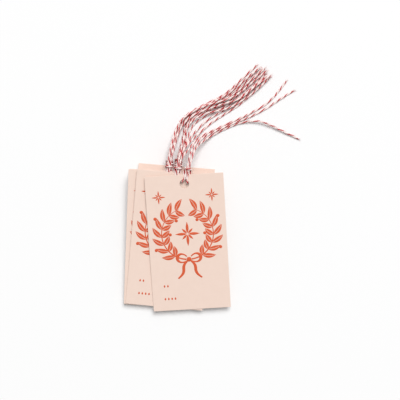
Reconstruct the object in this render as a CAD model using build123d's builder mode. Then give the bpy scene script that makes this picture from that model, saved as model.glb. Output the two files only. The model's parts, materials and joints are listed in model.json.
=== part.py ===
from build123d import *
import os
from math import atan2, cos, degrees, pi, radians, sin, sqrt, tan

# A fanned pile of eight card gift tags. Each card hangs on its own doubled twine, which goes
# through the punched hole and round the top edge in a lark's head hitch. +Y is the hole end of the
# pile, +Z is up, and the origin is on the table under the middle of the pile.

# Card: a die-cut rectangle of heavy card with one punched hole on its middle line.
CARD_WIDTH = 50.8
CARD_HEIGHT = 88.9
CARD_THICKNESS = 0.45
HOLE_DIAMETER = 6.0
HOLE_TO_TOP = 6.0

# Twine: soft cotton cord, with a small gap between each strand and what lies next to it.
TWINE_DIAMETER = 1.2
STRAND_CLEARANCE = 0.12
EXIT_RUN = 4.0

# Pile: the feet of the cards lie nearly together, and the hitches hold their heads apart.
FOOT_GAP = 0.3
HOLE_LINE_Y = 33.0

# One entry for each tag, from the front one down to the one on the table. Lanes are counted in hitch
# widths across the pile, rises and loops in hole margins. Turns and headings are in degrees.
LANE_SHARES = [0.93, -0.15, -1.17, -0.12, -1.20, -0.17, -1.21, -0.17]
RISE_SHARES = [0.0, 0.20, 0.43, 0.33, 0.37, 0.47, 0.58, 1.03]
LOOP_SHARES = [1.70, 1.57, 1.50, 1.77, 1.90, 1.97, 2.02, 1.73]
CARD_TURNS = [3.5, -5.5, -2.6, -2.5, -2.5, -4.0, -2.0, -4.6]
HITCH_HEADINGS = [-14.0, -9.5, -6.5, -10.0, -8.0, -9.0, -6.0, -9.5]

# The two strands in a hole stand apart by this share of the room beside them.
HOLE_SPREAD_SHARE = 0.65

# A bend takes this share of the shorter run beside it.
BEND_SHARE = 0.45

# The free tails, from the first point past each hitch to the cut end, as they lie in the bundle.
TAIL_ROUTES = {
    "tail_1_left": [
        (8.6, 51.6, 16.8), (10.0, 55.7, 12.4), (12.5, 59.9, 8.2), (16.4, 63.4, 5.2), (21.4, 66.5, 3.0),
        (27.5, 69.4, 1.65), (33.9, 72.4, 1.55), (40.3, 75.0, 1.5), (46.6, 77.3, 1.0), (53.2, 80.4, 0.7),
        (59.8, 84.0, 0.65), (68.4, 90.0, 0.7), (77.0, 95.3, 0.65),
    ],
    "tail_1_right": [
        (10.2, 51.2, 16.6), (11.6, 55.3, 12.0), (14.0, 59.0, 7.8), (18.0, 62.2, 4.2), (22.4, 65.4, 1.9),
        (28.0, 68.3, 0.7), (34.4, 71.3, 0.65), (40.9, 73.8, 0.85), (48.2, 75.2, 1.5), (55.0, 75.0, 2.2),
        (61.6, 72.6, 1.9), (71.2, 67.9, 1.3), (80.4, 63.6, 0.65),
    ],
    "tail_2_left": [
        (2.6, 52.4, 15.2), (5.0, 56.6, 11.2), (8.2, 60.6, 7.0), (11.8, 64.4, 3.6), (15.8, 68.2, 1.4),
        (20.6, 72.6, 0.65), (26.8, 77.0, 0.7), (33.8, 81.3, 0.65), (41.8, 86.4, 0.7), (52.0, 95.2, 0.65),
        (61.6, 104.4, 0.7),
    ],
    "tail_2_right": [
        (4.4, 51.6, 15.0), (7.6, 55.6, 11.0), (10.8, 60.2, 6.6), (15.2, 64.6, 3.6), (20.8, 67.6, 1.6),
        (26.95, 70.5, 0.65), (33.4, 73.5, 0.7), (39.8, 76.2, 0.65), (46.2, 79.2, 0.7), (52.9, 82.8, 0.65),
        (59.0, 86.4, 0.7), (66.0, 93.0, 0.65), (72.2, 101.6, 0.7),
    ],
    "tail_3_left": [
        (-4.4, 54.2, 13.2), (-3.4, 59.6, 9.0), (-2.3, 65.0, 5.6), (-0.2, 70.8, 3.35), (3.4, 76.4, 3.25),
        (9.0, 80.6, 3.3), (15.8, 83.9, 3.25), (22.8, 86.5, 3.3), (30.8, 88.4, 3.3), (39.5, 92.1, 2.75),
        (48.8, 100.2, 2.05), (59.4, 108.4, 2.05),
    ],
    "tail_3_right": [
        (-2.6, 54.0, 13.2), (-1.6, 59.2, 9.0), (-0.4, 64.4, 5.6), (1.7, 69.8, 3.35), (5.2, 74.6, 3.3),
        (10.3, 78.7, 3.25), (16.9, 81.9, 3.3), (24.0, 84.2, 3.25), (31.6, 86.8, 3.35), (41.4, 89.2, 3.25),
        (50.8, 97.8, 3.3), (61.6, 105.2, 3.0),
    ],
    "tail_4_left": [
        (2.4, 55.0, 11.2), (3.7, 60.2, 7.6), (4.7, 65.2, 5.0), (6.0, 69.8, 3.35), (8.0, 73.4, 3.25),
        (12.0, 76.8, 3.3), (18.0, 79.9, 3.2), (25.4, 81.7, 2.75), (33.6, 83.3, 2.15), (42.0, 88.0, 2.0),
        (52.2, 95.0, 1.95), (59.8, 102.8, 2.05),
    ],
    "tail_4_right": [
        (4.4, 54.2, 11.0), (5.9, 58.8, 7.2), (8.3, 63.4, 4.2), (11.4, 67.5, 2.2), (14.8, 71.2, 1.0),
        (18.8, 75.0, 0.65), (24.4, 78.8, 0.7), (32.9, 83.3, 0.65), (41.0, 88.2, 0.7), (51.1, 96.9, 0.65),
        (59.2, 104.6, 0.7),
    ],
    "tail_5_left": [
        (-3.6, 56.0, 8.6), (-2.5, 61.2, 4.8), (-1.2, 66.4, 2.25), (0.8, 71.6, 1.95), (3.9, 76.3, 2.0),
        (8.9, 80.5, 1.95), (15.4, 84.2, 2.0), (22.2, 87.2, 1.95), (29.6, 90.6, 2.0), (37.4, 96.0, 1.95),
        (46.6, 104.2, 2.0), (55.0, 110.6, 1.95),
    ],
    "tail_5_right": [
        (-2.0, 56.0, 8.6), (-0.9, 61.0, 4.8), (0.4, 66.0, 2.25), (2.4, 70.8, 1.95), (5.3, 75.1, 2.0),
        (10.0, 79.1, 1.95), (16.3, 82.7, 2.0), (23.0, 85.6, 1.95), (30.5, 88.8, 2.0), (38.6, 93.8, 1.95),
        (48.2, 101.8, 2.0), (58.0, 110.0, 1.95),
    ],
    "tail_6_left": [
        (2.2, 56.6, 6.0), (3.6, 61.4, 3.6), (4.5, 66.0, 2.25), (5.5, 70.4, 2.0), (7.2, 74.2, 1.95),
        (11.3, 77.8, 2.0), (17.3, 81.3, 1.95), (24.0, 83.9, 2.0), (31.8, 86.2, 1.95), (40.6, 89.8, 2.0),
        (50.4, 97.6, 2.0), (57.4, 103.9, 1.95),
    ],
    "tail_6_right": [
        (4.0, 56.2, 6.0), (5.8, 60.8, 3.6), (7.2, 65.2, 1.8), (8.6, 69.4, 0.7), (10.8, 73.0, 0.65),
        (14.6, 76.2, 0.7), (20.4, 79.6, 0.65), (26.0, 82.3, 0.7), (32.2, 85.1, 0.65), (40.3, 89.9, 0.7),
        (50.2, 98.4, 0.65), (58.4, 106.4, 0.7),
    ],
    "tail_7_left": [
        (-3.9, 57.8, 4.0), (-2.8, 62.8, 1.5), (-1.7, 67.6, 0.65), (0.1, 72.2, 0.7), (3.2, 76.9, 0.65),
        (8.4, 81.2, 0.7), (15.0, 84.9, 0.65), (22.0, 88.1, 0.7), (29.2, 91.6, 0.65), (36.4, 97.0, 0.7),
        (44.4, 104.8, 0.65), (52.6, 112.1, 0.7),
    ],
    "tail_7_right": [
        (-2.3, 57.8, 3.3), (-1.2, 62.6, 1.6), (-0.1, 67.2, 0.7), (1.6, 71.4, 0.65), (4.5, 75.8, 0.7),
        (9.4, 79.9, 0.65), (15.8, 83.5, 0.7), (22.6, 86.5, 0.65), (29.9, 89.9, 0.7), (37.9, 95.0, 0.65),
        (47.2, 102.9, 0.7), (53.4, 109.6, 0.65),
    ],
    "tail_8_left": [
        (2.4, 59.0, 2.2), (3.5, 63.8, 1.1), (4.2, 68.2, 0.65), (5.0, 72.0, 0.7), (6.6, 75.2, 0.65),
        (10.5, 78.7, 0.7), (16.6, 82.1, 0.65), (23.3, 85.0, 0.7), (30.7, 88.3, 0.65), (38.7, 93.3, 0.7),
        (48.2, 101.4, 0.65), (55.8, 109.4, 0.7),
    ],
    "tail_8_right": [
        (4.0, 59.0, 2.2), (5.1, 63.6, 1.1), (5.8, 67.6, 0.65), (6.7, 71.2, 0.7), (8.2, 74.1, 0.65),
        (11.7, 77.5, 0.7), (17.5, 80.8, 0.65), (24.0, 83.5, 0.7), (31.4, 86.7, 0.65), (39.5, 91.6, 0.7),
        (49.2, 99.9, 0.65), (57.4, 108.0, 0.7),
    ],
}

os.makedirs("parts", exist_ok=True)

# Hitch sizes that follow from the card and the twine. The strands spread below the rim of the hole.
twine_radius = TWINE_DIAMETER / 2
hole_radius = HOLE_DIAMETER / 2
half_card = CARD_THICKNESS / 2
strand_height = half_card + STRAND_CLEARANCE + twine_radius
bar_height = strand_height + TWINE_DIAMETER + STRAND_CLEARANCE
leg_offset = twine_radius + STRAND_CLEARANCE / 2
wrap_offset = leg_offset + TWINE_DIAMETER + STRAND_CLEARANCE
hitch_width = 2 * (wrap_offset + twine_radius) + STRAND_CLEARANCE
entry_offset = leg_offset + HOLE_SPREAD_SHARE * (hole_radius - twine_radius - leg_offset)
hole_chord = sqrt(hole_radius**2 - (entry_offset + twine_radius) ** 2)
hole_entry = hole_chord - twine_radius - 2 * STRAND_CLEARANCE
spread_start = hole_radius + twine_radius

# Pile sizes: each card lies one pitch above the next, a small one at the feet and a larger one at
# the hole line, where one strand fits between two cards.
tag_count = len(LANE_SHARES)
foot_pitch = CARD_THICKNESS + FOOT_GAP
head_pitch = CARD_THICKNESS + TWINE_DIAMETER + 2 * STRAND_CLEARANCE
lowest_turn = radians(CARD_TURNS[-1])
lowest_reach = (CARD_HEIGHT - HOLE_TO_TOP) * cos(lowest_turn) + CARD_WIDTH / 2 * abs(sin(lowest_turn))
lowest_hole_y = HOLE_LINE_Y + RISE_SHARES[-1] * HOLE_TO_TOP
foot_line_y = lowest_hole_y - lowest_reach


def tag_plane(tag):
    """The mid-plane of a card, unturned: its origin is the hole's centre and its Z is the card's front."""
    level = tag_count - 1 - tag
    foot_z = half_card + level * foot_pitch
    head_z = strand_height + twine_radius + level * head_pitch
    tilt = atan2(head_z - foot_z, HOLE_LINE_Y - foot_line_y)
    hole_x = LANE_SHARES[tag] * hitch_width
    hole_y = HOLE_LINE_Y + RISE_SHARES[tag] * HOLE_TO_TOP
    hole_z = head_z + (hole_y - HOLE_LINE_Y) * tan(tilt)
    return Plane((hole_x, hole_y, hole_z), x_dir=(1, 0, 0), z_dir=(0, -sin(tilt), cos(tilt)))


def bend_radii(points):
    """The radius of each corner of a route: the bend share of its shorter run, over half the turn's tangent."""
    corners = [Vector(*point) for point in points]
    radii = []
    for before, corner, after in zip(corners, corners[1:], corners[2:]):
        run_in = corner - before
        run_out = after - corner
        half_turn = radians(run_in.get_angle(run_out)) / 2
        radii.append(BEND_SHARE * min(run_in.length, run_out.length) / tan(half_turn))
    return radii


def make_twine(label, points):
    """One stretch of twine: a round section swept along straight runs joined by tangent arcs."""
    radii = bend_radii(points)
    with BuildPart() as stretch:
        with BuildLine() as route:
            FilletPolyline(*points, radius=radii)
        path = route.wire()
        with BuildSketch(Plane(path @ 0, z_dir=path % 0)):
            Circle(twine_radius)
        sweep(path=path)
    stretch.part.label = label
    export_step(stretch.part, f"parts/{label}.step")
    filled = stretch.part.volume / (pi * twine_radius**2 * path.length)
    bends = " ".join(f"{radius:.1f}" for radius in radii)
    print(f"{label}: {path.length:.1f} long, volume over section times length {filled:.4f}, radii {bends}")


for tag in range(tag_count):
    plane = tag_plane(tag)

    # The card, turned in its own plane about the punched hole.
    with BuildPart() as card:
        with BuildSketch(plane.moved(Rotation(0, 0, CARD_TURNS[tag]))):
            with Locations((0, HOLE_TO_TOP - CARD_HEIGHT / 2)):
                Rectangle(CARD_WIDTH, CARD_HEIGHT)
            Circle(hole_radius, mode=Mode.SUBTRACT)
        extrude(amount=half_card, both=True)
    card.part.label = f"card_{tag + 1}"
    export_step(card.part, f"parts/card_{tag + 1}.step")

    # The hitch: from under the bar down the front to the hole, up the back, round the top edge,
    # across the front as the bar, and the same way back.
    hitch_plane = plane.moved(Rotation(0, 0, HITCH_HEADINGS[tag]))
    loop = LOOP_SHARES[tag] * HOLE_TO_TOP
    right_half = [
        (leg_offset, loop, strand_height),
        (leg_offset, spread_start, strand_height),
        (entry_offset, hole_entry, strand_height),
        (entry_offset, hole_entry, -strand_height),
        (wrap_offset, loop, -strand_height),
        (wrap_offset, loop, bar_height),
    ]
    left_half = [(-across, along, height) for across, along, height in reversed(right_half)]
    make_twine(
        f"hitch_{tag + 1}",
        [hitch_plane.from_local_coords(point) for point in right_half + left_half],
    )

    # The two tails leave from under the bar, straight at first, and then lie in the bundle.
    for side, across in (("left", -leg_offset), ("right", leg_offset)):
        start = hitch_plane.from_local_coords((across, loop, strand_height))
        clear = hitch_plane.from_local_coords((across, loop + EXIT_RUN, strand_height))
        name = f"tail_{tag + 1}_{side}"
        make_twine(name, [start, clear] + TAIL_ROUTES[name])

    hole = plane.origin
    tilt = degrees(atan2(-plane.z_dir.Y, plane.z_dir.Z))
    print(f"card_{tag + 1}: hole at {hole.X:.3f} {hole.Y:.3f} {hole.Z:.3f}, tilted {tilt:.3f}")
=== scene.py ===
import json

import bpy
import numpy as np
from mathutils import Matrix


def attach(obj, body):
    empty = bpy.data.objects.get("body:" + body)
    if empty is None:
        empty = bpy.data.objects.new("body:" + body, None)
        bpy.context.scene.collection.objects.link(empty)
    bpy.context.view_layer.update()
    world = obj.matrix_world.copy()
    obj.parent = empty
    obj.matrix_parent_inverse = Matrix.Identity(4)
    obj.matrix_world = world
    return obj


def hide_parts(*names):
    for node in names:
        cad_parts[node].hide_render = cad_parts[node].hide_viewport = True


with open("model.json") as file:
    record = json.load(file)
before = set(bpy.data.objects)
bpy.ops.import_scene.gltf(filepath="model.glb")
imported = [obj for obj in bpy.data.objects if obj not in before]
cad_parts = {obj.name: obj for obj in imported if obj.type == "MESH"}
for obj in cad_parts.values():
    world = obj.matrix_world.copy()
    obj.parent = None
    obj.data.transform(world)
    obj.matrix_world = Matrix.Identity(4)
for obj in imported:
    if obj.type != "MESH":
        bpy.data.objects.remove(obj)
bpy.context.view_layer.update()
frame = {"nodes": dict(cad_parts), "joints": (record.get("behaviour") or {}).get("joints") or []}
tag_count = len(frame["joints"])

# Camera: it looks straight down on the pile from a little under half a metre, with the hole end of the
# tags at the top of the square frame.
camera_height = 0.42
camera_over = (0.015, 0.0227)
table_seen = 0.2667

camera = bpy.data.objects.new("camera", bpy.data.cameras.new("camera"))
camera.location = (*camera_over, camera_height)
camera.data.angle = 2 * np.arctan(table_seen / 2 / camera_height)
bpy.context.scene.collection.objects.link(camera)
bpy.context.scene.camera = camera

# Twines: each tag hangs on one length of soft cotton twine, three plies laid up left-handed, the fullest of
# them dyed red. It is folded in two, and its fold goes through the punched hole and over its own tails in a
# lark's head hitch. The two tails lie loose in the bundle, and their cut ends have begun to fray.
twine_radius = 0.0006
strand_gap = 0.00012
exit_run = 0.004
card_thickness = 0.00045
hole_radius = 0.003
hole_to_top = 0.006
loop_shares = [1.70, 1.57, 1.50, 1.77, 1.90, 1.97, 2.02, 1.73]
hitch_headings = [-14.0, -9.5, -6.5, -10.0, -8.0, -9.0, -6.0, -9.5]
hole_spread_share = 0.65

# The free tails, from the first point past each hitch to the cut end, as they lie in the bundle.
tail_routes = {
    "tail_1_left": [
        (0.0086, 0.0516, 0.0168), (0.01, 0.0557, 0.0124), (0.0125, 0.0599, 0.0082),
        (0.0164, 0.0634, 0.0052), (0.0214, 0.0665, 0.003), (0.0275, 0.0694, 0.00165),
        (0.0339, 0.0724, 0.00155), (0.0403, 0.075, 0.0015), (0.0466, 0.0773, 0.001),
        (0.0532, 0.0804, 0.0007), (0.0598, 0.084, 0.00065), (0.0684, 0.09, 0.0007),
        (0.077, 0.0953, 0.00065),
    ],
    "tail_1_right": [
        (0.0102, 0.0512, 0.0166), (0.0116, 0.0553, 0.012), (0.014, 0.059, 0.0078),
        (0.018, 0.0622, 0.0042), (0.0224, 0.0654, 0.0019), (0.028, 0.0683, 0.0007),
        (0.0344, 0.0713, 0.00065), (0.0409, 0.0738, 0.00085), (0.0482, 0.0752, 0.0015),
        (0.055, 0.075, 0.0022), (0.0616, 0.0726, 0.0019), (0.0712, 0.0679, 0.0013),
        (0.0804, 0.0636, 0.00065),
    ],
    "tail_2_left": [
        (0.0026, 0.0524, 0.0152), (0.005, 0.0566, 0.0112), (0.0082, 0.0606, 0.007),
        (0.0118, 0.0644, 0.0036), (0.0158, 0.0682, 0.0014), (0.0206, 0.0726, 0.00065),
        (0.0268, 0.077, 0.0007), (0.0338, 0.0813, 0.00065), (0.0418, 0.0864, 0.0007),
        (0.052, 0.0952, 0.00065), (0.0616, 0.1044, 0.0007),
    ],
    "tail_2_right": [
        (0.0044, 0.0516, 0.015), (0.0076, 0.0556, 0.011), (0.0108, 0.0602, 0.0066),
        (0.0152, 0.0646, 0.0036), (0.0208, 0.0676, 0.0016), (0.02695, 0.0705, 0.00065),
        (0.0334, 0.0735, 0.0007), (0.0398, 0.0762, 0.00065), (0.0462, 0.0792, 0.0007),
        (0.0529, 0.0828, 0.00065), (0.059, 0.0864, 0.0007), (0.066, 0.093, 0.00065),
        (0.0722, 0.1016, 0.0007),
    ],
    "tail_3_left": [
        (-0.0044, 0.0542, 0.0132), (-0.0034, 0.0596, 0.009), (-0.0023, 0.065, 0.0056),
        (-0.0002, 0.0708, 0.00335), (0.0034, 0.0764, 0.00325), (0.009, 0.0806, 0.0033),
        (0.0158, 0.0839, 0.00325), (0.0228, 0.0865, 0.0033), (0.0308, 0.0884, 0.0033),
        (0.0395, 0.0921, 0.00275), (0.0488, 0.1002, 0.00205), (0.0594, 0.1084, 0.00205),
    ],
    "tail_3_right": [
        (-0.0026, 0.054, 0.0132), (-0.0016, 0.0592, 0.009), (-0.0004, 0.0644, 0.0056),
        (0.0017, 0.0698, 0.00335), (0.0052, 0.0746, 0.0033), (0.0103, 0.0787, 0.00325),
        (0.0169, 0.0819, 0.0033), (0.024, 0.0842, 0.00325), (0.0316, 0.0868, 0.00335),
        (0.0414, 0.0892, 0.00325), (0.0508, 0.0978, 0.0033), (0.0616, 0.1052, 0.003),
    ],
    "tail_4_left": [
        (0.0024, 0.055, 0.0112), (0.0037, 0.0602, 0.0076), (0.0047, 0.0652, 0.005),
        (0.006, 0.0698, 0.00335), (0.008, 0.0734, 0.00325), (0.012, 0.0768, 0.0033),
        (0.018, 0.0799, 0.0032), (0.0254, 0.0817, 0.00275), (0.0336, 0.0833, 0.00215),
        (0.042, 0.088, 0.002), (0.0522, 0.095, 0.00195), (0.0598, 0.1028, 0.00205),
    ],
    "tail_4_right": [
        (0.0044, 0.0542, 0.011), (0.0059, 0.0588, 0.0072), (0.0083, 0.0634, 0.0042),
        (0.0114, 0.0675, 0.0022), (0.0148, 0.0712, 0.001), (0.0188, 0.075, 0.00065),
        (0.0244, 0.0788, 0.0007), (0.0329, 0.0833, 0.00065), (0.041, 0.0882, 0.0007),
        (0.0511, 0.0969, 0.00065), (0.0592, 0.1046, 0.0007),
    ],
    "tail_5_left": [
        (-0.0036, 0.056, 0.0086), (-0.0025, 0.0612, 0.0048), (-0.0012, 0.0664, 0.00225),
        (0.0008, 0.0716, 0.00195), (0.0039, 0.0763, 0.002), (0.0089, 0.0805, 0.00195),
        (0.0154, 0.0842, 0.002), (0.0222, 0.0872, 0.00195), (0.0296, 0.0906, 0.002),
        (0.0374, 0.096, 0.00195), (0.0466, 0.1042, 0.002), (0.055, 0.1106, 0.00195),
    ],
    "tail_5_right": [
        (-0.002, 0.056, 0.0086), (-0.0009, 0.061, 0.0048), (0.0004, 0.066, 0.00225),
        (0.0024, 0.0708, 0.00195), (0.0053, 0.0751, 0.002), (0.01, 0.0791, 0.00195),
        (0.0163, 0.0827, 0.002), (0.023, 0.0856, 0.00195), (0.0305, 0.0888, 0.002),
        (0.0386, 0.0938, 0.00195), (0.0482, 0.1018, 0.002), (0.058, 0.11, 0.00195),
    ],
    "tail_6_left": [
        (0.0022, 0.0566, 0.006), (0.0036, 0.0614, 0.0036), (0.0045, 0.066, 0.00225),
        (0.0055, 0.0704, 0.002), (0.0072, 0.0742, 0.00195), (0.0113, 0.0778, 0.002),
        (0.0173, 0.0813, 0.00195), (0.024, 0.0839, 0.002), (0.0318, 0.0862, 0.00195),
        (0.0406, 0.0898, 0.002), (0.0504, 0.0976, 0.002), (0.0574, 0.1039, 0.00195),
    ],
    "tail_6_right": [
        (0.004, 0.0562, 0.006), (0.0058, 0.0608, 0.0036), (0.0072, 0.0652, 0.0018),
        (0.0086, 0.0694, 0.0007), (0.0108, 0.073, 0.00065), (0.0146, 0.0762, 0.0007),
        (0.0204, 0.0796, 0.00065), (0.026, 0.0823, 0.0007), (0.0322, 0.0851, 0.00065),
        (0.0403, 0.0899, 0.0007), (0.0502, 0.0984, 0.00065), (0.0584, 0.1064, 0.0007),
    ],
    "tail_7_left": [
        (-0.0039, 0.0578, 0.004), (-0.0028, 0.0628, 0.0015), (-0.0017, 0.0676, 0.00065),
        (0.0001, 0.0722, 0.0007), (0.0032, 0.0769, 0.00065), (0.0084, 0.0812, 0.0007),
        (0.015, 0.0849, 0.00065), (0.022, 0.0881, 0.0007), (0.0292, 0.0916, 0.00065),
        (0.0364, 0.097, 0.0007), (0.0444, 0.1048, 0.00065), (0.0526, 0.1121, 0.0007),
    ],
    "tail_7_right": [
        (-0.0023, 0.0578, 0.0033), (-0.0012, 0.0626, 0.0016), (-0.0001, 0.0672, 0.0007),
        (0.0016, 0.0714, 0.00065), (0.0045, 0.0758, 0.0007), (0.0094, 0.0799, 0.00065),
        (0.0158, 0.0835, 0.0007), (0.0226, 0.0865, 0.00065), (0.0299, 0.0899, 0.0007),
        (0.0379, 0.095, 0.00065), (0.0472, 0.1029, 0.0007), (0.0534, 0.1096, 0.00065),
    ],
    "tail_8_left": [
        (0.0024, 0.059, 0.0022), (0.0035, 0.0638, 0.0011), (0.0042, 0.0682, 0.00065),
        (0.005, 0.072, 0.0007), (0.0066, 0.0752, 0.00065), (0.0105, 0.0787, 0.0007),
        (0.0166, 0.0821, 0.00065), (0.0233, 0.085, 0.0007), (0.0307, 0.0883, 0.00065),
        (0.0387, 0.0933, 0.0007), (0.0482, 0.1014, 0.00065), (0.0558, 0.1094, 0.0007),
    ],
    "tail_8_right": [
        (0.004, 0.059, 0.0022), (0.0051, 0.0636, 0.0011), (0.0058, 0.0676, 0.00065),
        (0.0067, 0.0712, 0.0007), (0.0082, 0.0741, 0.00065), (0.0117, 0.0775, 0.0007),
        (0.0175, 0.0808, 0.00065), (0.024, 0.0835, 0.0007), (0.0314, 0.0867, 0.00065),
        (0.0395, 0.0916, 0.0007), (0.0492, 0.0999, 0.00065), (0.0574, 0.108, 0.0007),
    ],
}

strand_height = card_thickness / 2 + strand_gap + twine_radius
bar_height = strand_height + 2 * twine_radius + strand_gap
leg_offset = twine_radius + strand_gap / 2
wrap_offset = leg_offset + 2 * twine_radius + strand_gap
entry_offset = leg_offset + hole_spread_share * (hole_radius - twine_radius - leg_offset)
hole_entry = np.sqrt(hole_radius**2 - (entry_offset + twine_radius) ** 2) - twine_radius - 2 * strand_gap
spread_start = hole_radius + twine_radius


def tag_frame(number):
    """The hole's centre and the three axes of a tag, from its hinge.

    The axes run across the pile, up the card and out of its front.
    """
    hinge = next(joint for joint in frame["joints"] if joint["child"] == f"tag_{number}")
    front = np.array(hinge["axis"])
    across = np.array((1.0, 0.0, 0.0))
    return np.array(hinge["pos_m"]), np.array((across, np.cross(front, across), front))


def turned(axes, angle):
    """The same axes turned in the card's plane by an angle in radians."""
    turn = np.array(((np.cos(angle), np.sin(angle), 0), (-np.sin(angle), np.cos(angle), 0), (0, 0, 1)))
    return turn @ axes


def hitch_half(loop):
    """Half of a hitch, right of its middle line, with its bar this far above the hole's centre.

    It runs down the front to the hole, through it, up the back, and over to the bar.
    """
    hole_run = 2 * strand_height
    edge_run = strand_height + bar_height
    behind_hole = np.array((entry_offset, hole_entry, -strand_height))
    behind_edge = np.array((wrap_offset, loop, -strand_height))
    up_the_back = (behind_edge - behind_hole) / np.linalg.norm(behind_edge - behind_hole)
    return np.array([
        (leg_offset, loop + exit_run, strand_height),
        (leg_offset, loop, strand_height),
        (leg_offset, spread_start, strand_height),
        (entry_offset, hole_entry, strand_height),
        behind_hole,
        behind_hole + hole_run * up_the_back,
        behind_edge - edge_run * up_the_back,
        behind_edge,
        (wrap_offset, loop, bar_height),
    ])


def mesh_points(mesh):
    """The points of a mesh, one row each."""
    points = np.empty(len(mesh.vertices) * 3)
    mesh.vertices.foreach_get("co", points)
    return points.reshape(-1, 3)


def spline_line(route):
    """Points along the smooth line of a cord: a NURBS curve with the route's points as its control points."""
    curve = bpy.data.curves.new("route", "CURVE")
    curve.dimensions = "3D"
    curve.resolution_u = 24
    spline = curve.splines.new("NURBS")
    spline.points.add(len(route) - 1)
    spline.points.foreach_set("co", np.column_stack((route, np.ones(len(route)))).ravel())
    spline.order_u = 3
    spline.use_endpoint_u = True
    holder = bpy.data.objects.new("route", curve)
    sampled = bpy.data.meshes.new_from_object(holder)
    line = mesh_points(sampled)
    bpy.data.objects.remove(holder)
    bpy.data.meshes.remove(sampled)
    bpy.data.curves.remove(curve)
    return line


def distances(line):
    """How far along a line each of its points lies."""
    runs = np.linalg.norm(np.diff(line, axis=0), axis=1)
    return np.concatenate(([0.0], np.cumsum(runs)))


def even_line(line, step):
    """The same line at even steps: distances from its start, and the point at each distance."""
    along = distances(line)
    stations = np.linspace(0.0, along[-1], int(np.ceil(along[-1] / step)) + 1)
    return stations, np.column_stack([np.interp(stations, along, axis) for axis in line.T])


def line_frames(line):
    """Two directions square to a line, which don't spin about it.

    A fixed slanting direction loses its part along the tangent. The angle by which the pair it gives spins
    about the tangent is added up along the line and turned back.
    """
    tangents = np.gradient(line, axis=0)
    tangents /= np.linalg.norm(tangents, axis=1, keepdims=True)
    slanting = np.array((0.80, -0.35, 0.49))
    first = slanting - (tangents @ slanting)[:, None] * tangents
    first /= np.linalg.norm(first, axis=1, keepdims=True)
    second = np.cross(tangents, first)
    spin = np.sum(np.diff(first, axis=0) * (second[1:] + second[:-1]) / 2, axis=1)
    back = -np.concatenate(([0.0], np.cumsum(spin)))[:, None]
    return np.cos(back) * first + np.sin(back) * second, np.cos(back) * second - np.sin(back) * first


# The plies of a twine. The lay sways by a part of a turn over each sway length.
ply_count = 3
ply_pitch = 0.0062
lay_sway = 0.15
sway_length = 0.026
ply_shares = np.array((0.63, 0.49, 0.49))[:, None, None, None]
ply_sides = 9
rings_per_turn = 16
fray_length = 0.0012
fray_thinning = 0.28
fray_opening = 0.4


def ply_rings(stations, line, number):
    """Rings of the plies: an array of plies, stations, places round the ply and coordinates.

    Each ply runs round the twine's line as a left-handed helix, which a slow wave makes tighter in some
    places than in others. The wave starts elsewhere on each twine. The section of a ply is an ellipse,
    because the slope of the helix widens it round the twine. Towards a cut end the helix opens and the
    plies thin out.
    """
    first, second = (axis[None, :, None, :] for axis in line_frames(line))
    turns = stations / ply_pitch + lay_sway * np.sin(2 * np.pi * stations / sway_length + number**2)
    phase = np.arange(ply_count)[:, None] / ply_count - turns
    angle = 2 * np.pi * phase[:, :, None, None]
    outward = np.cos(angle) * first + np.sin(angle) * second
    onward = np.cos(angle) * second - np.sin(angle) * first
    to_end = np.minimum(stations, stations[-1] - stations)[None, :, None, None]
    fray = np.exp(-to_end / fray_length)
    ply_radius = ply_shares * twine_radius * (1 - fray_thinning * fray)
    helix_radius = (1 - ply_shares) * twine_radius * (1 + fray_opening * fray)
    slope = 2 * np.pi * (1 - ply_shares) * twine_radius / ply_pitch
    round_ply = -2 * np.pi * np.arange(ply_sides)[None, None, :, None] / ply_sides
    section = np.cos(round_ply) * outward + np.sqrt(1 + slope**2) * np.sin(round_ply) * onward
    return line[None, :, None, :] + helix_radius * outward + ply_radius * section


# The loose fibres of a twine, each a thin tapering tube.
fibre_rows = 5
fibre_sides = 3
fibre_radius = 0.00003
fibre_taper = 0.6
along_fibre = np.linspace(0.0, 1.0, fibre_rows)


def fibre_tubes(middles, first, second):
    """Thin tubes along lines of fibres, which taper towards their tips and stay on the table."""
    middles[..., 2] = np.maximum(middles[..., 2], fibre_radius)
    round_fibre = -2 * np.pi * np.arange(fibre_sides)[:, None] / fibre_sides
    section = np.cos(round_fibre) * first[..., None, :] + np.sin(round_fibre) * second[..., None, :]
    thickness = fibre_radius * (1 - fibre_taper * along_fibre)
    return middles[:, :, None, :] + thickness[:, None, None] * section


stray_per_metre = 8000
stray_lengths = (0.0005, 0.0018)
stray_swing = 0.9
stray_root_share = 0.85
stray_least_rise = 0.0001
stray_lift_power = 1.5
stray_dyed_share = 0.4
tail_fuzz = 0.0005
hitch_fuzz = 0.00012


def stray_fibres(line, seed, fuzz):
    """Fibres that stand off a twine all along it: rings of thin tubes, and whether each fibre is dyed.

    A fibre starts in the twine's surface at a random place and angle, runs on along the twine for a random
    length while it swings round it a little, and rises from it more and more.
    """
    chance = np.random.default_rng(seed)
    runs = distances(line)
    count = int(stray_per_metre * runs[-1])
    start = chance.uniform(0.0, runs[-1], count)[:, None]
    length = chance.uniform(*stray_lengths, count)[:, None]
    bearing = chance.uniform(0.0, 2 * np.pi, count)[:, None]
    swing = chance.uniform(-stray_swing, stray_swing, count)[:, None]
    lift = chance.uniform(stray_least_rise, fuzz, count)[:, None]
    dyed = chance.uniform(0.0, 1.0, count) < stray_dyed_share
    along = np.minimum(start + length * along_fibre, runs[-1])
    angle = bearing + swing * along_fibre
    rise = stray_root_share * twine_radius + lift * along_fibre**stray_lift_power
    middle, first, second = [
        np.stack([np.interp(along, runs, axis) for axis in rows.T], axis=-1)
        for rows in (line, *line_frames(line))
    ]
    outward = np.cos(angle)[..., None] * first + np.sin(angle)[..., None] * second
    return fibre_tubes(middle + rise[..., None] * outward, first, second), dyed


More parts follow.
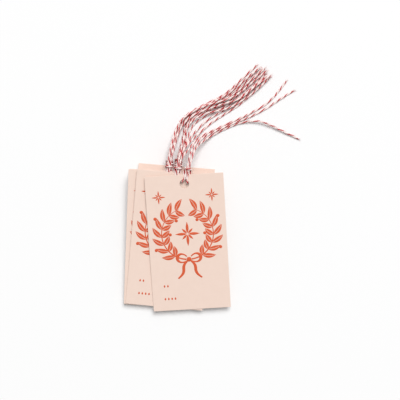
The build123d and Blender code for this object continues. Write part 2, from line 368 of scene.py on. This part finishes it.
frayed_count = 30
frayed_root = 0.0005
frayed_reach = 0.0022
frayed_least_reach = 0.3
frayed_core = 0.02
frayed_root_share = 0.8
frayed_spread = 0.5
frayed_spread_power = 1.7
frayed_dyed_angle = 0.8 * np.pi


def frayed_fibres(line, seed):
    """Loose fibres at the last point of a line: rings of thin tubes, and whether each fibre is dyed.

    A fibre starts inside the twine, runs on past the cut end for a random part of the full reach, and spreads
    outwards more and more as it goes. It thins towards its tip and stays on the table.
    """
    chance = np.random.default_rng(seed)
    tangent = (line[-1] - line[-3]) / np.linalg.norm(line[-1] - line[-3])
    first, second = (axis[-1] for axis in line_frames(line))
    angle = chance.uniform(0.0, 2 * np.pi, frayed_count)
    depth = np.sqrt(chance.uniform(frayed_core, 1.0, frayed_count))[:, None]
    reach = frayed_reach * chance.uniform(frayed_least_reach, 1.0, frayed_count)[:, None]
    outward = np.cos(angle)[:, None] * first + np.sin(angle)[:, None] * second
    run = (frayed_root + reach) * along_fibre - frayed_root
    widening = frayed_spread * reach * along_fibre**frayed_spread_power
    spread = depth * (frayed_root_share * twine_radius + widening)
    middles = line[-1] + run[..., None] * tangent + spread[..., None] * outward[:, None, :]
    return fibre_tubes(middles, first, second), angle < frayed_dyed_angle


def tube_faces(rows, around, tubes=1, ring=False):
    """Quads of like tubes whose grids are closed around, and also end to end if each one is a ring."""
    tube = np.arange(tubes)[:, None, None] * rows * around
    row = np.arange(rows if ring else rows - 1)[None, :, None]
    place = np.arange(around)[None, None, :]
    next_row = (row + 1) % rows
    next_place = (place + 1) % around
    corners = [(row, place), (next_row, place), (next_row, next_place), (row, next_place)]
    quads = np.broadcast_arrays(*[tube + r * around + p for r, p in corners])
    return np.stack(quads, axis=-1).reshape(-1, 4)


def end_faces(rows, around, tubes):
    """The two flat ends of like tubes, one face each, with the far ends turned round to face outwards."""
    near = np.arange(tubes)[:, None] * rows * around + np.arange(around)[None, :]
    far = near[:, ::-1] + (rows - 1) * around
    return np.concatenate((near, far))


def add_piece(name, points, faces, body, materials):
    """Makes a smooth mesh piece that rides on a body, with its place in its points."""
    mesh = bpy.data.meshes.new(name)
    mesh.from_pydata(points.reshape(-1, 3), [], faces)
    mesh.polygons.foreach_set("use_smooth", np.ones(len(mesh.polygons), bool))
    for material in materials:
        mesh.materials.append(material)
    piece = bpy.data.objects.new(name, mesh)
    bpy.context.scene.collection.objects.link(piece)
    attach(piece, body)
    return piece


def shader_node(tree, kind, inputs=(), **settings):
    """Adds a node with these settings. Each input is a value, or a socket to link it to."""
    made = tree.nodes.new(kind)
    for name, value in settings.items():
        setattr(made, name, value)
    for name, value in dict(inputs).items():
        if isinstance(value, bpy.types.NodeSocket):
            tree.links.new(value, made.inputs[name])
        else:
            made.inputs[name].default_value = value
    return made


def math_of(tree, operation, *terms):
    """One Math node of these terms, each a value or a socket."""
    return shader_node(tree, "ShaderNodeMath", enumerate(terms), operation=operation).outputs[0]


def value_mix(tree, share, first, second):
    """The value this share of the way from the first socket's to the second's."""
    rest = math_of(tree, "MULTIPLY", first, 1 - share)
    return math_of(tree, "MULTIPLY_ADD", second, share, rest)


def colour_mix(tree, share, first, second):
    """The colour this share of the way from the first to the second, each four numbers or a socket."""
    mixed = shader_node(tree, "ShaderNodeMix", {0: share, 6: first, 7: second}, data_type="RGBA")
    return mixed.outputs[2]


def noise_of(tree, place, scale, detail, roughness=0.5, distortion=0.0):
    """Noise over the coordinates of a place."""
    inputs = {
        "Vector": place, "Scale": scale, "Detail": detail, "Roughness": roughness, "Distortion": distortion,
    }
    return shader_node(tree, "ShaderNodeTexNoise", inputs).outputs["Fac"]


def shown(red, green, blue):
    """The linear colour that shows as these display values from 0 to 255."""
    display = np.array((red, green, blue)) / 255
    linear = np.where(display > 0.04045, ((display + 0.055) / 1.055) ** 2.4, display / 12.92)
    return (*linear, 1.0)


def fibre_group(name, outputs):
    """An empty shader node group with a fibre scale as its input and these outputs, and its two end nodes."""
    group = bpy.data.node_groups.new(name, "ShaderNodeTree")
    group.interface.new_socket("Fibre Scale", in_out="INPUT", socket_type="NodeSocketFloat")
    for output in outputs:
        group.interface.new_socket(output, in_out="OUTPUT", socket_type="NodeSocketFloat")
    return group, group.nodes.new("NodeGroupInput"), group.nodes.new("NodeGroupOutput")


def new_material(name):
    """A material, and its node tree."""
    material = bpy.data.materials.new(name)
    material.use_nodes = True
    return material, material.node_tree


def add_relief(tree, surface, tone, height, roughness, strength, depth):
    """Gives a surface a roughness that runs between two values with its tone, and a bump from its height."""
    levels = {"Value": tone, "To Min": roughness[0], "To Max": roughness[1]}
    rough = shader_node(tree, "ShaderNodeMapRange", levels)
    tree.links.new(rough.outputs[0], surface.inputs["Roughness"])
    bump = shader_node(tree, "ShaderNodeBump", {"Height": height, "Strength": strength, "Distance": depth})
    tree.links.new(bump.outputs[0], surface.inputs["Normal"])


# The spun yarn of a ply. Its yarns turn by so many radians in each millimetre.
yarns_per_ply = 3.0
yarn_turn = 5.2
yarn_stretch = (0.9, 2.6, 2.6)
slow_scale = 0.35
yarn_fibre_share = 0.55
slow_share = 0.3


def yarn_group():
    """Spun cotton: three yarns twisted round each ply, and fine fibres that run along it.

    The ridges of the yarns are a sine wave of the angle round the ply and the way along it.
    """
    group, given, result = fibre_group("Spun yarn", ("Tone", "Height"))
    yarn = shader_node(group, "ShaderNodeAttribute", attribute_name="yarn").outputs["Vector"]
    along, across, upright = shader_node(group, "ShaderNodeSeparateXYZ", {0: yarn}).outputs
    angle = math_of(group, "ARCTAN2", upright, across)
    twist = math_of(group, "MULTIPLY", along, yarn_turn)
    lay = math_of(group, "MULTIPLY_ADD", angle, yarns_per_ply, twist)
    ridge = math_of(group, "MULTIPLY_ADD", math_of(group, "SINE", lay), 0.5, 0.5)
    stretched = shader_node(group, "ShaderNodeMapping", {"Vector": yarn, "Scale": yarn_stretch}).outputs[0]
    fibre = noise_of(group, stretched, given.outputs[0], detail=4.0, roughness=0.65)
    height = value_mix(group, yarn_fibre_share, ridge, fibre)
    # The tone mostly follows the height of the yarns: painted shade in their grooves and painted light on
    # their ridges, with a little slow noise.
    tone = value_mix(group, slow_share, height, noise_of(group, yarn, slow_scale, detail=2.0))
    group.links.new(tone, result.inputs["Tone"])
    group.links.new(height, result.inputs["Height"])
    return group


spun_yarn = yarn_group()
cotton_roughness = (0.95, 0.75)
yarn_relief = 0.7
yarn_depth = 0.00008


def cotton_material(name, shade, light, fibre_scale):
    """Matt cotton between two tones, with raised yarns and a soft sheen.
    The darker tone lies in the grooves between the yarns as painted shade, the lighter one on their ridges as
    painted light.
    """
    material, tree = new_material(name)
    surface = tree.nodes["Principled BSDF"]
    yarn = shader_node(tree, "ShaderNodeGroup", {"Fibre Scale": fibre_scale}, node_tree=spun_yarn)
    tone = yarn.outputs["Tone"]
    # The mix of the two tones by the yarn tone paints shade into the grooves and light onto the ridges.
    tree.links.new(colour_mix(tree, tone, shade, light), surface.inputs["Base Color"])
    add_relief(tree, surface, tone, yarn.outputs["Height"], cotton_roughness, yarn_relief, yarn_depth)
    surface.inputs["Specular IOR Level"].default_value = 0.25
    surface.inputs["Sheen Weight"].default_value = 0.2
    surface.inputs["Sheen Roughness"].default_value = 0.5
    return material


# Both cottons take their darker tone in the yarn grooves as painted shade. The white one's darker tone is
# pink: painted shade with painted light bounced from the red ply.
white_cotton = cotton_material(
    "white cotton", shade=shown(255, 231, 226), light=shown(255, 246, 243), fibre_scale=4.0,
)
red_cotton = cotton_material(
    "red cotton", shade=shown(160, 10, 20), light=shown(214, 28, 36), fibre_scale=4.5,
)
twine_materials = [white_cotton, red_cotton]
dyed_ply = 0
mm_per_metre = 1000
ply_shift = 37.0
twine_shift = 97.0


def twine_faces(rows):
    """Faces of the plies with their ends, and whether each is dyed."""
    quads = tube_faces(rows, ply_sides, ply_count)
    ends = end_faces(rows, ply_sides, ply_count)
    quad_ply = np.repeat(np.arange(ply_count), (rows - 1) * ply_sides)
    end_ply = np.tile(np.arange(ply_count), 2)
    return quads.tolist() + ends.tolist(), np.concatenate((quad_ply, end_ply)) == dyed_ply


def yarn_places(stations, number):
    """Where each ring point lies on its ply: how far along it, and the cosine and sine of the angle round it.

    The way along is in millimetres, and starts elsewhere on each ply and each twine.
    """
    angle = -2 * np.pi * np.arange(ply_sides) / ply_sides
    starts = ply_shift * np.arange(ply_count)[:, None, None] + twine_shift * number
    along = stations[None, :, None] * mm_per_metre + starts
    return np.stack(np.broadcast_arrays(along, np.cos(angle), np.sin(angle)), axis=-1)


def add_twine(name, stations, rings, number, fibres):
    """One stretch of twine as a piece, with its loose fibres.

    A loose fibre lies on no ply, so its place in the yarn is its own point in millimetres.
    """
    faces, dyed = twine_faces(len(stations))
    points = rings.reshape(-1, 3)
    tubes, dyed_fibres = fibres
    tube_quads = tube_faces(fibre_rows, fibre_sides, len(tubes)) + len(points)
    tube_ends = end_faces(fibre_rows, fibre_sides, len(tubes)) + len(points)
    faces += tube_quads.tolist() + tube_ends.tolist()
    quads_each = (fibre_rows - 1) * fibre_sides
    dyed = np.concatenate((dyed, np.repeat(dyed_fibres, quads_each), np.tile(dyed_fibres, 2)))
    tube_points = tubes.reshape(-1, 3)
    points = np.concatenate((points, tube_points))
    places = np.concatenate((yarn_places(stations, number).reshape(-1, 3), tube_points * mm_per_metre))
    piece = add_piece(name, points, faces, "twines", twine_materials)
    piece.data.polygons.foreach_set("material_index", dyed.astype(np.int32))
    yarn = piece.data.attributes.new("yarn", "FLOAT_VECTOR", "POINT")
    yarn.data.foreach_set("vector", places.astype(np.float32).ravel())
    return piece


# Each twine is worked out whole, from the cut end of its right tail to that of its left one.
hitch_seed = 100
tail_seeds = {"right": 5, "left": 4}

for number in range(1, tag_count + 1):
    hole, axes = tag_frame(number)
    hitch_axes = turned(axes, np.radians(hitch_headings[number - 1]))
    right_half = hitch_half(loop_shares[number - 1] * hole_to_top)
    left_half = right_half[::-1] * (-1, 1, 1)
    hitch = hole + np.concatenate((right_half, left_half)) @ hitch_axes
    right_tail = np.array(tail_routes[f"tail_{number}_right"])
    left_tail = np.array(tail_routes[f"tail_{number}_left"])
    route = np.concatenate((right_tail[::-1], hitch, left_tail))
    stations, line = even_line(spline_line(route), ply_pitch / rings_per_turn)
    rings = ply_rings(stations, line, number)

    # The twine is cut into its hitch and its tails under the bar, where the hitch's second point lies.
    cuts = [int(np.argmin(np.linalg.norm(line - hitch[place], axis=1))) for place in (1, -2)]
    middle = slice(cuts[0], cuts[1] + 1)
    short_fibres = stray_fibres(line[middle], hitch_seed + number, hitch_fuzz)
    knot = add_twine(f"twine_hitch_{number}", stations[middle], rings[:, middle], number, short_fibres)
    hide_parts(f"hitch_{number}")
    sides = {"right": slice(0, cuts[0] + 1), "left": slice(cuts[1], None)}
    for side, stretch in sides.items():
        path = line[stretch][::-1] if side == "right" else line[stretch]
        seed = tail_seeds[side] + 2 * number
        groups = zip(frayed_fibres(path, seed), stray_fibres(path, seed, tail_fuzz))
        fibres = [np.concatenate(group) for group in groups]
        tail = add_twine(f"twine_tail_{number}_{side}", stations[stretch], rings[:, stretch], number, fibres)
        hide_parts(f"tail_{number}_{side}")

# Cards: die-cut rectangles of heavy uncoated blush card, each with a punched hole on its middle line.
# The die rounds their edges a little, and each card has taken a faint bow along its length.
edge_round = 0.00006
rim_round = 0.00012
round_middle_share = 0.3
level_multiple = 4
card_bow = 0.00025
ray_count = 180
row_shares = (0.04, 0.10, 0.18, 0.28, 0.40, 0.53, 0.67, 0.82, 0.93)
corner_slack = 0.00001
least_slope = 1e-9


def card_size(number, hole, axes):
    """Half width, reach below the hole, reach above it and turn of a card, read from its solid.

    The two foot corners are the points of the solid that lie furthest from the hole, so the way to the middle
    between them is down the card.
    """
    solid = mesh_points(frame["nodes"][f"card_{number}"].data)
    flat = (solid - hole) @ axes[:2].T
    reach = np.hypot(*flat.T)
    foot = flat[reach > reach.max() - corner_slack].mean(axis=0)
    turn = np.arctan2(foot[0], -foot[1])
    straight = flat @ turned(np.eye(3), turn)[:2, :2].T
    return np.abs(straight[:, 0]).max(), -straight[:, 1].min(), straight[:, 1].max(), turn


def bow_height(flat, length):
    """How far the bow lifts a point of a card, from its distance to the hole: half a wave along the card."""
    return card_bow * np.sin(np.pi * np.hypot(flat[..., 0], flat[..., 1]) / length)


def card_points(half_width, below, above):
    """A closed sheet round its hole, as rows from the hole's wall over the front, the cut edge and the back.

    Rays leave the hole's centre at even angles and through the four corners. A row lies a share of the way
    from the hole's rim to the outline, which is where a ray meets the rectangle.
    """
    corners_across = [half_width, -half_width, -half_width, half_width]
    corner_angles = np.arctan2([above, above, -below, -below], corners_across)
    even_angles = np.linspace(-np.pi, np.pi, ray_count, endpoint=False)
    angles = np.unique(np.concatenate((even_angles, corner_angles)))
    rays = np.stack((np.cos(angles), np.sin(angles)), axis=-1)
    half = card_thickness / 2
    rim_middle = round_middle_share * rim_round
    edge_middle = round_middle_share * edge_round
    rim_level = level_multiple * rim_round
    edge_level = level_multiple * edge_round

    # Each row: share of the way out, offset from the hole's wall, inset from the outline, height, and 1 where
    # it is cut or 0 where it is the card's face.
    wall_rows = [
        (0, 0, 0, 0, 1),
        (0, 0, 0, half - rim_round, 1),
        (0, rim_middle, 0, half - rim_middle, 1),
    ]
    front_rows = [(0, rim_round, 0, half, 0), (0, rim_level, 0, half, 0)]
    front_rows += [(share, rim_level, edge_level, half, 0) for share in row_shares]
    front_rows += [(1, 0, edge_level, half, 0), (1, 0, edge_round, half, 0)]
    edge_rows = [(1, 0, edge_middle, half - edge_middle, 1), (1, 0, 0, half - edge_round, 1)]
    top_half = wall_rows + front_rows + edge_rows
    mirrored = [(*row[:3], -row[3], row[4]) for row in top_half[:0:-1]]
    rows = np.array(top_half + mirrored)
    share, offset, inset, height, cut = (column[:, None] for column in rows.T)

    upright = np.where(rays[:, 1] > 0, above, below)
    across_reach = (half_width - inset) / np.maximum(np.abs(rays[:, 0]), least_slope)
    upright_reach = (upright - inset) / np.maximum(np.abs(rays[:, 1]), least_slope)
    outline = np.minimum(across_reach, upright_reach)
    radius = (hole_radius + offset) * (1 - share) + outline * share
    flat = radius[:, :, None] * rays
    lifted = height + bow_height(flat, below + above)
    return np.concatenate((flat, lifted[:, :, None]), axis=-1), np.broadcast_to(cut, radius.shape)


cloud_scale = 210.0
paper_fibre_scale = 2400.0
fleck_scale = 1500.0
fleck_levels = (0.70, 0.78)
fibre_tone_share = 0.55
fibre_height_share = 0.8


def paper_group():
    """Uncoated paper: matted fibres, slow clouds of tone and a few short flecks."""
    group, given, result = fibre_group("Paper fibre", ("Tone", "Fleck", "Height"))
    place = shader_node(group, "ShaderNodeTexCoord").outputs["Object"]
    cloud = noise_of(group, place, cloud_scale, detail=3.0)
    fibre = noise_of(group, place, given.outputs[0], detail=5.0, roughness=0.7, distortion=1.4)
    strewn = noise_of(group, place, fleck_scale, detail=1.0, distortion=2.5)
    levels = {"Value": strewn, "From Min": fleck_levels[0], "From Max": fleck_levels[1]}
    fleck = shader_node(group, "ShaderNodeMapRange", levels).outputs[0]
    group.links.new(value_mix(group, fibre_tone_share, cloud, fibre), result.inputs["Tone"])
    group.links.new(fleck, result.inputs["Fleck"])
    group.links.new(value_mix(group, fibre_height_share, cloud, fibre), result.inputs["Height"])
    return group


paper_fibre = paper_group()
paper_depth = 0.00004


def paper_material(name, shade, light, fleck, fleck_share, cut, roughness, relief):
    """Card stock or ink on it: two tones with flecks, a paler cut edge, and the relief of the fibres."""
    material, tree = new_material(name)
    surface = tree.nodes["Principled BSDF"]
    paper = shader_node(tree, "ShaderNodeGroup", {"Fibre Scale": paper_fibre_scale}, node_tree=paper_fibre)
    tone = paper.outputs["Tone"]
    flecks = math_of(tree, "MULTIPLY", paper.outputs["Fleck"], fleck_share)
    flecked = colour_mix(tree, flecks, colour_mix(tree, tone, shade, light), fleck)
    edge = shader_node(tree, "ShaderNodeAttribute", attribute_name="cut").outputs["Fac"]
    tree.links.new(colour_mix(tree, edge, flecked, cut), surface.inputs["Base Color"])
    add_relief(tree, surface, tone, paper.outputs["Height"], roughness, relief, paper_depth)
    surface.inputs["Specular IOR Level"].default_value = 0.3
    return material


blush_card = paper_material(
    "blush card", shade=shown(229, 205, 191), light=shown(240, 217, 204), fleck=shown(217, 179, 163),
    fleck_share=0.35, cut=shown(245, 229, 219), roughness=(0.96, 0.84), relief=0.35,
)

# Print: a wreath of leaves and berries round a star, tied with a bow, with two small stars above it and two
# short rows of lozenges below it, in one orange-red ink. The ink lies on the card as a film with hardly any
# thickness, and each batch of strokes lies a little above the one before.
film = 0.000012
film_step = 0.0000015
stroke_level_share = 0.94
line_points = 60
wreath_middle = np.array((0.0, -0.0325))
wreath_radius = 0.0168
leaf_climbs = np.radians(np.linspace(-58, 66, 8))
leaf_leans_and_lengths = ((-0.62, 0.0088), (0.95, 0.0068))
leaf_half_width = 0.0015
leaf_bend = 0.25
leaf_rib = 0.00016
leaf_swell_power = 0.85
leaf_tip_share = 0.02
stem_climbs = np.radians(np.linspace(-84, 74, line_points))
stem_half_widths = np.linspace(0.0005, 0.00018, line_points)
berry_climbs = np.radians((-25, 0, 28, 53))
berry_offsets = np.array((0.0063, -0.0056, 0.0063, -0.0056))
berry_radius = 0.00105
dot_end_share = 0.998
bow_middle = wreath_middle - (0.0, wreath_radius)
bow_reach = 0.0078
bow_sweep = 0.94 * np.pi / 4
bow_tilt = 0.20
bow_half_width = 0.00042
bow_swell = 0.00062
bow_knot_radius = 0.0016
ribbon_reach = 0.0078
ribbon_wave = 0.0012
ribbon_fall = 0.0125
ribbon_half_width = 0.0005
ribbon_swell = 0.0005
star_hub = 0.0006
star_turns_lengths_and_half_widths = ((0.0, 0.0074, 0.0009), (np.pi / 4, 0.0044, 0.0007))
corner_star = np.array((0.0172, -0.0078))
corner_star_size = 0.55
lozenge_feet_and_counts = ((-0.0673, 2), (-0.0759, 4))
lozenge_start = -0.0172
lozenge_step = 0.0022
lozenge_length = 0.0018
lozenge_half_width = 0.00055


def leaf_shape(base, heading, length, half_width, bend, rows=22):
    """Leaves as brush strokes: their lines, their half widths, and the direction across each of them.

    A line runs from its base along a heading and bends to one side as it goes. The half width follows half a
    wave along the leaf, fullest a little before the middle.
    """
    share = np.linspace(0.0, 1.0, rows)
    way = np.stack((np.cos(heading), np.sin(heading)), axis=-1)[:, None, :]
    side = np.stack((-np.sin(heading), np.cos(heading)), axis=-1)[:, None, :]
    run = (length * share)[..., None] * way
    bow = (bend * length * share * (1 - share))[..., None] * side
    widths = half_width * (np.sin(np.pi * share**leaf_swell_power) + leaf_tip_share)
    return base[:, None, :] + run + bow, np.broadcast_to(widths, run.shape[:2]), side


def dots(middles, radius, rows=16):
    """Round dots as short strokes, as wide at each place as a circle is there."""
    share = np.cos(np.linspace(np.pi, 0.0, rows)) * dot_end_share
    line = np.stack((radius * share, np.zeros(rows)), axis=-1)
    widths = radius * np.sqrt(1 - share**2)
    return middles[:, None, :] + line, np.broadcast_to(widths, (len(middles), rows))


def stroke_points(lines, widths, height, card_length):
    """Flat closed tubes along lines on the card.

    The top is level, the edges run down into the card, and the floor lies in it.
    """
    way = np.gradient(lines, axis=1)
    way /= np.linalg.norm(way, axis=-1, keepdims=True)
    side = np.stack((-way[..., 1], way[..., 0]), axis=-1)
    places = np.array((-1.0, -stroke_level_share, 0.0, stroke_level_share, 1.0, 0.0))
    heights = np.array((-film, height, height, height, -film, -film))
    flat = lines[:, :, None, :] + (widths[:, :, None] * places)[..., None] * side[:, :, None, :]
    lifted = card_thickness / 2 + heights + bow_height(flat, card_length)
    return np.concatenate((flat, lifted[..., None]), axis=-1)


def ring_angles(side, climbs):
    """Angles round the wreath's middle for places that climb its right half, or mirrored, its left."""
    return np.pi / 2 - side * (np.pi / 2 - climbs)


def on_wreath(angle, radius):
    """Points round the wreath's middle at these angles and radii."""
    return wreath_middle + np.stack((radius * np.cos(angle), radius * np.sin(angle)), axis=-1)


def wreath_half(side):
    """Half of the wreath: leaves in pairs, each in two halves beside its rib, their stem, and berries."""
    batches = []
    angle = ring_angles(side, leaf_climbs)
    onward = angle + side * np.pi / 2
    base = on_wreath(angle, wreath_radius)
    for lean, length in leaf_leans_and_lengths:
        bend = leaf_bend * np.sign(side * lean)
        lines, widths, across = leaf_shape(base, onward + side * lean, length, leaf_half_width, bend)
        for half in (-1, 1):
            offset = half * (widths + leaf_rib) / 2
            batches.append((lines + offset[..., None] * across, widths / 2))
    stem = on_wreath(ring_angles(side, stem_climbs), wreath_radius)
    batches.append((stem[None], stem_half_widths[None]))
    berries = on_wreath(ring_angles(side, berry_climbs), wreath_radius + berry_offsets)
    batches.append(dots(berries, berry_radius))
    return batches


def bow_half(side):
    """One loop of the bow, half of a figure of eight that tilts upwards, and one waving end of its ribbon."""
    sweep = np.linspace(-bow_sweep, bow_sweep, line_points)
    reach = bow_reach * np.sqrt(np.cos(2 * sweep))
    heading = sweep + bow_tilt
    loop = np.stack((side * reach * np.cos(heading), reach * np.sin(heading)), axis=-1)
    fall = np.linspace(0.0, 1.0, line_points)
    loop_widths = bow_half_width + bow_swell * np.sin(np.pi * fall) ** 2
    across = ribbon_reach * fall + ribbon_wave * np.sin(2 * np.pi * fall)
    ribbon = np.stack((side * across, -ribbon_fall * fall), axis=-1)
    ribbon_widths = ribbon_half_width + ribbon_swell * np.sin(np.pi * fall)
    return [(bow_middle + loop[None], loop_widths[None]), (bow_middle + ribbon[None], ribbon_widths[None])]


def star_strokes(middle, size):
    """A star of four long points and four short ones between them, round a small open hub."""
    batches = []
    for turn, length, half_width in star_turns_lengths_and_half_widths:
        heading = turn + np.arange(4) * np.pi / 2
        base = middle + star_hub * size * np.stack((np.cos(heading), np.sin(heading)), axis=-1)
        batches.append(leaf_shape(base, heading, size * length, size * half_width, 0.0)[:2])
    return batches


def lozenge_row(foot, count):
    """A row of upright lozenges that stand on this height of the card."""
    base = np.stack((lozenge_start + lozenge_step * np.arange(count), np.full(count, foot)), axis=-1)
    return leaf_shape(base, np.full(count, np.pi / 2), lozenge_length, lozenge_half_width, 0.0)[:2]


def print_strokes():
    """The whole print as batches of strokes, each an array of lines and their half widths."""
    batches = []
    for side in (1, -1):
        batches += wreath_half(side) + bow_half(side)
    batches.append(dots(bow_middle[None], bow_knot_radius))
    batches += star_strokes(wreath_middle, 1.0)
    for side in (1, -1):
        batches += star_strokes(corner_star * (side, 1), corner_star_size)
    batches += [lozenge_row(foot, count) for foot, count in lozenge_feet_and_counts]
    return batches


orange_ink = paper_material(
    "orange-red ink", shade=shown(201, 80, 44), light=shown(219, 101, 62), fleck=shown(226, 140, 108),
    fleck_share=0.25, cut=shown(210, 90, 52), roughness=(0.72, 0.55), relief=0.25,
)

# Each card is one piece with its print.
for number in range(1, tag_count + 1):
    hole, axes = tag_frame(number)
    half_width, below, above, turn = card_size(number, hole, axes)
    sheet, cut = card_points(half_width, below, above)
    points = [sheet.reshape(-1, 3)]
    faces = tube_faces(*sheet.shape[:2], ring=True).tolist()
    paper_faces = len(faces)
    for layer, (lines, widths) in enumerate(print_strokes()):
        strokes = stroke_points(lines, widths, film + layer * film_step, below + above)
        start = sum(len(batch) for batch in points)
        tubes, rows, around = strokes.shape[:3]
        faces += (tube_faces(rows, around, tubes) + start).tolist()
        faces += (end_faces(rows, around, tubes) + start).tolist()
        points.append(strokes.reshape(-1, 3))
    placed = hole + np.concatenate(points) @ turned(axes, turn)
    card = add_piece(
        f"printed_card_{number}", placed, faces, f"tag_{number}", [blush_card, orange_ink],
    )
    printed = np.arange(len(faces)) >= paper_faces
    card.data.polygons.foreach_set("material_index", printed.astype(np.int32))
    edges = np.zeros(len(placed), np.float32)
    edges[:cut.size] = cut.ravel()
    card.data.attributes.new("cut", "FLOAT", "POINT").data.foreach_set("value", edges)
    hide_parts(f"card_{number}")

# Table: a white board under the pile, lit from beyond the hole end by one wide soft lamp and by an even room,
# just brightly enough to show as white. The room itself shows as plain white wherever it is seen or mirrored.
half_table = 3.0
board_white = shown(242, 242, 242)
room_light = 0.40
lamp_place = (2.1, 6.3, 10.65)
lamp_width = 6.6
lamp_watts = 1425.0

corner_signs = [(-1, -1), (1, -1), (1, 1), (-1, 1)]
table_corners = [(half_table * across, half_table * along, 0.0) for across, along in corner_signs]
table_mesh = bpy.data.meshes.new("table")
table_mesh.from_pydata(table_corners, [], [(0, 1, 2, 3)])
table = bpy.data.objects.new("table", table_mesh)
bpy.context.scene.collection.objects.link(table)
table_material, table_tree = new_material("white board")
table_tree.nodes.remove(table_tree.nodes["Principled BSDF"])
board = shader_node(table_tree, "ShaderNodeBsdfDiffuse", {"Color": board_white})
table_tree.links.new(board.outputs[0], table_tree.nodes["Material Output"].inputs["Surface"])
table_mesh.materials.append(table_material)

world = bpy.data.worlds.new("room")
world.use_nodes = True
world_tree = world.node_tree
background = world_tree.nodes["Background"]
background.inputs["Color"].default_value = (1.0, 1.0, 1.0, 1.0)
ray = shader_node(world_tree, "ShaderNodeLightPath")
mirrored = math_of(world_tree, "MAXIMUM", ray.outputs["Is Glossy Ray"], ray.outputs["Is Transmission Ray"])
seen = math_of(world_tree, "MAXIMUM", ray.outputs["Is Camera Ray"], mirrored)
strength = shader_node(world_tree, "ShaderNodeMapRange", {"Value": seen, "To Min": room_light, "To Max": 1.0})
world_tree.links.new(strength.outputs[0], background.inputs["Strength"])
bpy.context.scene.world = world

lamp_data = bpy.data.lights.new("soft lamp", "AREA")
lamp_data.size = lamp_width
lamp_data.energy = lamp_watts
lamp = bpy.data.objects.new("soft lamp", lamp_data)
lamp.location = lamp_place
lamp.rotation_euler = (-lamp.location).to_track_quat("-Z", "Y").to_euler()
bpy.context.scene.collection.objects.link(lamp)
bpy.context.scene.view_settings.view_transform = "Standard"
